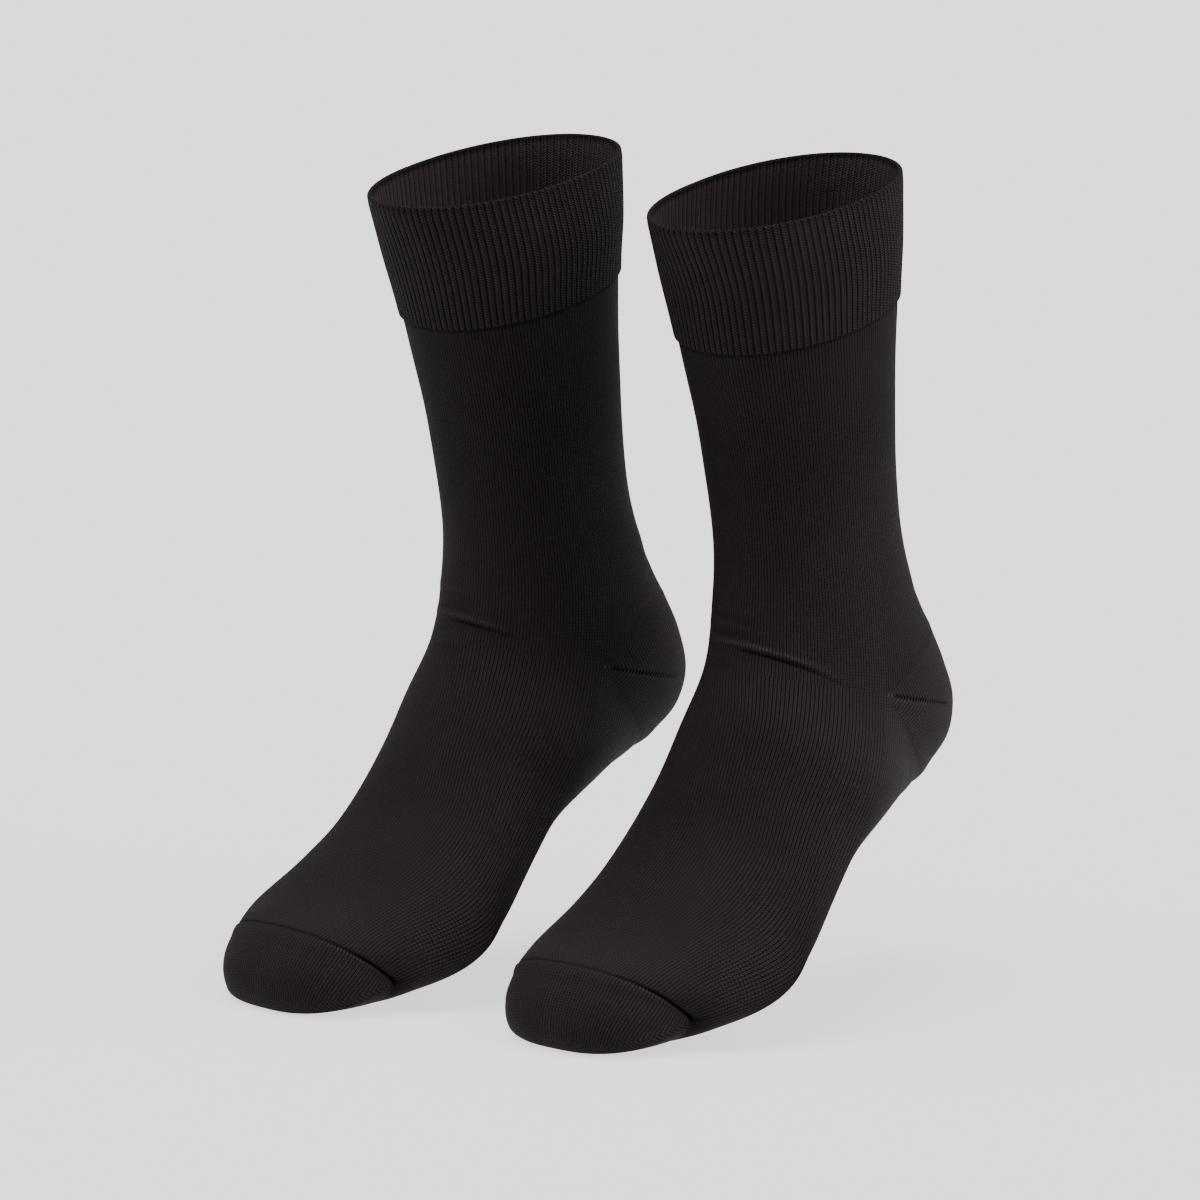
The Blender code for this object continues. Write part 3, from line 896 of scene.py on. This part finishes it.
def heel_cloth(side, material):
    """The heel pocket, from the back of the ankle's ring round to the sole."""
    knit = bpy.context.scene.sock_knit
    form = FORMS[side]
    line = [back_of(form.leg[-2]), back_of(form.leg[-1]), *form.heel,
            back_of(form.foot[0]), back_of(form.foot[1])]
    pocket_cloth(side, "heel", form.foot[0], line, HEEL_ROWS, knit.leg_wales, material,
                 seam_of=heel_gore)


def toe_cloth(side, material):
    """The toe pocket, from the sole round the tip to the seam across the top of the toes."""
    knit = bpy.context.scene.sock_knit
    form = FORMS[side]
    last, before = form.foot[-1], form.foot[-2]
    line = [back_of(before), back_of(last), *form.toe, front_of(last), front_of(before)]
    pocket_cloth(side, "toe", last, line, TOE_ROWS, knit.foot_wales, material,
                 seam_of=toe_seam)


def outside(piece):
    """Places and normals of the points outside a piece of cloth."""
    rows, columns = piece["outside_rings"]
    places = np.empty(len(piece.data.vertices) * 3)
    piece.data.vertices.foreach_get("co", places)
    grid = places[:rows * columns * 3].reshape(rows, columns, 3)
    return grid.reshape(-1, 3), outward(grid, piece["round"]).reshape(-1, 3)


def blend_normals(mesh, own, others):
    """Turns the normals of a piece's outside half way to its neighbours' where they meet."""
    places, normals = own
    turned = np.array([vertex.normal for vertex in mesh.vertices])
    turned[:len(places)] = normals
    for other_places, other_normals in others:
        tree = KDTree(len(other_places))
        for i, place in enumerate(other_places):
            tree.insert(place, i)
        tree.balance()
        for i, place in enumerate(places):
            _, j, gap = tree.find(place)
            share = 0.5 * max(0.0, 1.0 - gap / JOIN_REACH) ** 2
            turned[i] += share * (other_normals[j] - normals[i])
    turned /= np.linalg.norm(turned, axis=1, keepdims=True)
    mesh.normals_split_custom_set_from_vertices(turned.tolist())


# ---------------------------------------------------------------- operators

def knit_pair(make, name, stitch, contrast):
    """Makes one kind of piece for both socks."""
    material = knit_material(name, stitch, contrast)
    for side in SIDES:
        make(side, material)


class SOCKS_OT_cuffs(bpy.types.Operator):
    """Knit the ribbed cuffs"""
    bl_idname = "socks.cuffs"
    bl_label = "Knit Cuffs"

    def execute(self, context):
        knit_pair(cuff_cloth, "ribbed cuff knit", RIBBED, contrast=2.7)
        return {"FINISHED"}


class SOCKS_OT_legs(bpy.types.Operator):
    """Knit the legs"""
    bl_idname = "socks.legs"
    bl_label = "Knit Legs"

    def execute(self, context):
        knit_pair(leg_cloth, "leg knit", PLAIN, contrast=3.2)
        return {"FINISHED"}


class SOCKS_OT_heels(bpy.types.Operator):
    """Turn the heels"""
    bl_idname = "socks.heels"
    bl_label = "Turn Heels"

    def execute(self, context):
        knit_pair(heel_cloth, "heel knit", PLAIN, contrast=2.5)
        return {"FINISHED"}


class SOCKS_OT_feet(bpy.types.Operator):
    """Knit the feet"""
    bl_idname = "socks.feet"
    bl_label = "Knit Feet"

    def execute(self, context):
        knit_pair(foot_cloth, "foot knit", PLAIN, contrast=3.2)
        return {"FINISHED"}


class SOCKS_OT_toes(bpy.types.Operator):
    """Turn the toes and link them to the feet"""
    bl_idname = "socks.toes"
    bl_label = "Turn Toes"

    def execute(self, context):
        knit_pair(toe_cloth, "toe knit", PLAIN, contrast=3.2)
        return {"FINISHED"}


class SOCKS_OT_joins(bpy.types.Operator):
    """Shade the cloth smoothly over the joins round the ankle and the heel"""
    bl_idname = "socks.joins"
    bl_label = "Smooth Joins"

    def execute(self, context):
        for side in SIDES:
            pieces = {kind: bpy.data.objects[f"{side}_{kind}_cloth"]
                      for kind in ("leg", "heel", "foot")}
            grids = {kind: outside(piece) for kind, piece in pieces.items()}
            for kind, piece in pieces.items():
                others = [grids[other] for other in grids if other != kind]
                blend_normals(piece.data, grids[kind], others)
        return {"FINISHED"}


FLOOR_SIZE = 30.0       # in metres
FLOOR_DROP = 0.2 * MM   # keeps the floor clear of the soles


class SOCKS_OT_stage(bpy.types.Operator):
    """Set up the floor, the lights and the camera"""
    bl_idname = "socks.stage"
    bl_label = "Set Stage"

    def execute(self, context):
        stage = context.scene.sock_stage
        bpy.ops.mesh.primitive_plane_add(
            size=FLOOR_SIZE, location=(0, 0, solids_low.z - FLOOR_DROP))
        floor = context.active_object
        floor.name = "floor"
        paper = bpy.data.materials.new("pale floor")
        paper.use_nodes = True
        shader = paper.node_tree.nodes["Principled BSDF"]
        shader.inputs["Base Color"].default_value = (*stage.floor_colour, 1.0)
        shader.inputs["Roughness"].default_value = 0.9
        shader.inputs["Specular IOR Level"].default_value = 0.1
        shader.inputs["Emission Color"].default_value = (0.98, 0.98, 1.0, 1.0)
        shader.inputs["Emission Strength"].default_value = stage.floor_glow
        floor.data.materials.append(paper)

        world = bpy.data.worlds.new("studio")
        world.use_nodes = True
        sky = world.node_tree.nodes["Background"]
        sky.inputs["Color"].default_value = (0.95, 0.97, 1.0, 1.0)
        sky.inputs["Strength"].default_value = stage.sky
        context.scene.world = world

        for name, strength, origin in (("key", stage.key_strength, stage.key_from),
                                       ("fill", stage.fill_strength, stage.fill_from)):
            data = bpy.data.lights.new(name, "SUN")
            data.energy = strength
            data.angle = stage.light_angle
            light = bpy.data.objects.new(name, data)
            light.rotation_euler = Vector(origin).to_track_quat("Z", "Y").to_euler()
            context.scene.collection.objects.link(light)

        data = bpy.data.cameras.new("camera")
        data.sensor_width = 36.0
        data.lens = stage.lens
        data.clip_end = 100.0
        camera = bpy.data.objects.new("camera", data)
        back = Vector((math.sin(stage.azimuth) * math.cos(stage.elevation),
                       -math.cos(stage.azimuth) * math.cos(stage.elevation),
                       math.sin(stage.elevation)))
        camera.location = Vector(stage.target) + back * stage.distance
        camera.rotation_euler = (-back).to_track_quat("-Z", "Y").to_euler()
        context.scene.collection.objects.link(camera)
        context.scene.camera = camera
        return {"FINISHED"}


class SOCKS_PT_panel(bpy.types.Panel):
    """Lists the steps in the sidebar"""
    bl_idname = "SOCKS_PT_panel"
    bl_label = "Socks"
    bl_space_type = "VIEW_3D"
    bl_region_type = "UI"
    bl_category = "Socks"

    def draw(self, context):
        for settings in (context.scene.sock_knit, context.scene.sock_stage):
            box = self.layout.box()
            for name in settings.__annotations__:
                box.prop(settings, name)
        for step in STEPS:
            self.layout.operator(step.bl_idname)


STEPS = (SOCKS_OT_stage, SOCKS_OT_cuffs, SOCKS_OT_legs, SOCKS_OT_heels, SOCKS_OT_feet,
         SOCKS_OT_toes, SOCKS_OT_joins)
CLASSES = (KnitSettings, StageSettings, *STEPS, SOCKS_PT_panel)


def register():
    """Adds the classes and the scene's settings."""
    for cls in CLASSES:
        bpy.utils.register_class(cls)
    bpy.types.Scene.sock_knit = bpy.props.PointerProperty(type=KnitSettings)
    bpy.types.Scene.sock_stage = bpy.props.PointerProperty(type=StageSettings)


def unregister():
    """Takes them away again."""
    del bpy.types.Scene.sock_stage
    del bpy.types.Scene.sock_knit
    for cls in reversed(CLASSES):
        bpy.utils.unregister_class(cls)


def main():
    """Makes both socks and the stage."""
    register()
    bpy.ops.socks.stage()
    bpy.ops.socks.cuffs()
    bpy.ops.socks.legs()
    bpy.ops.socks.heels()
    bpy.ops.socks.feet()
    bpy.ops.socks.toes()
    bpy.ops.socks.joins()


if __name__ == "__main__":
    main()
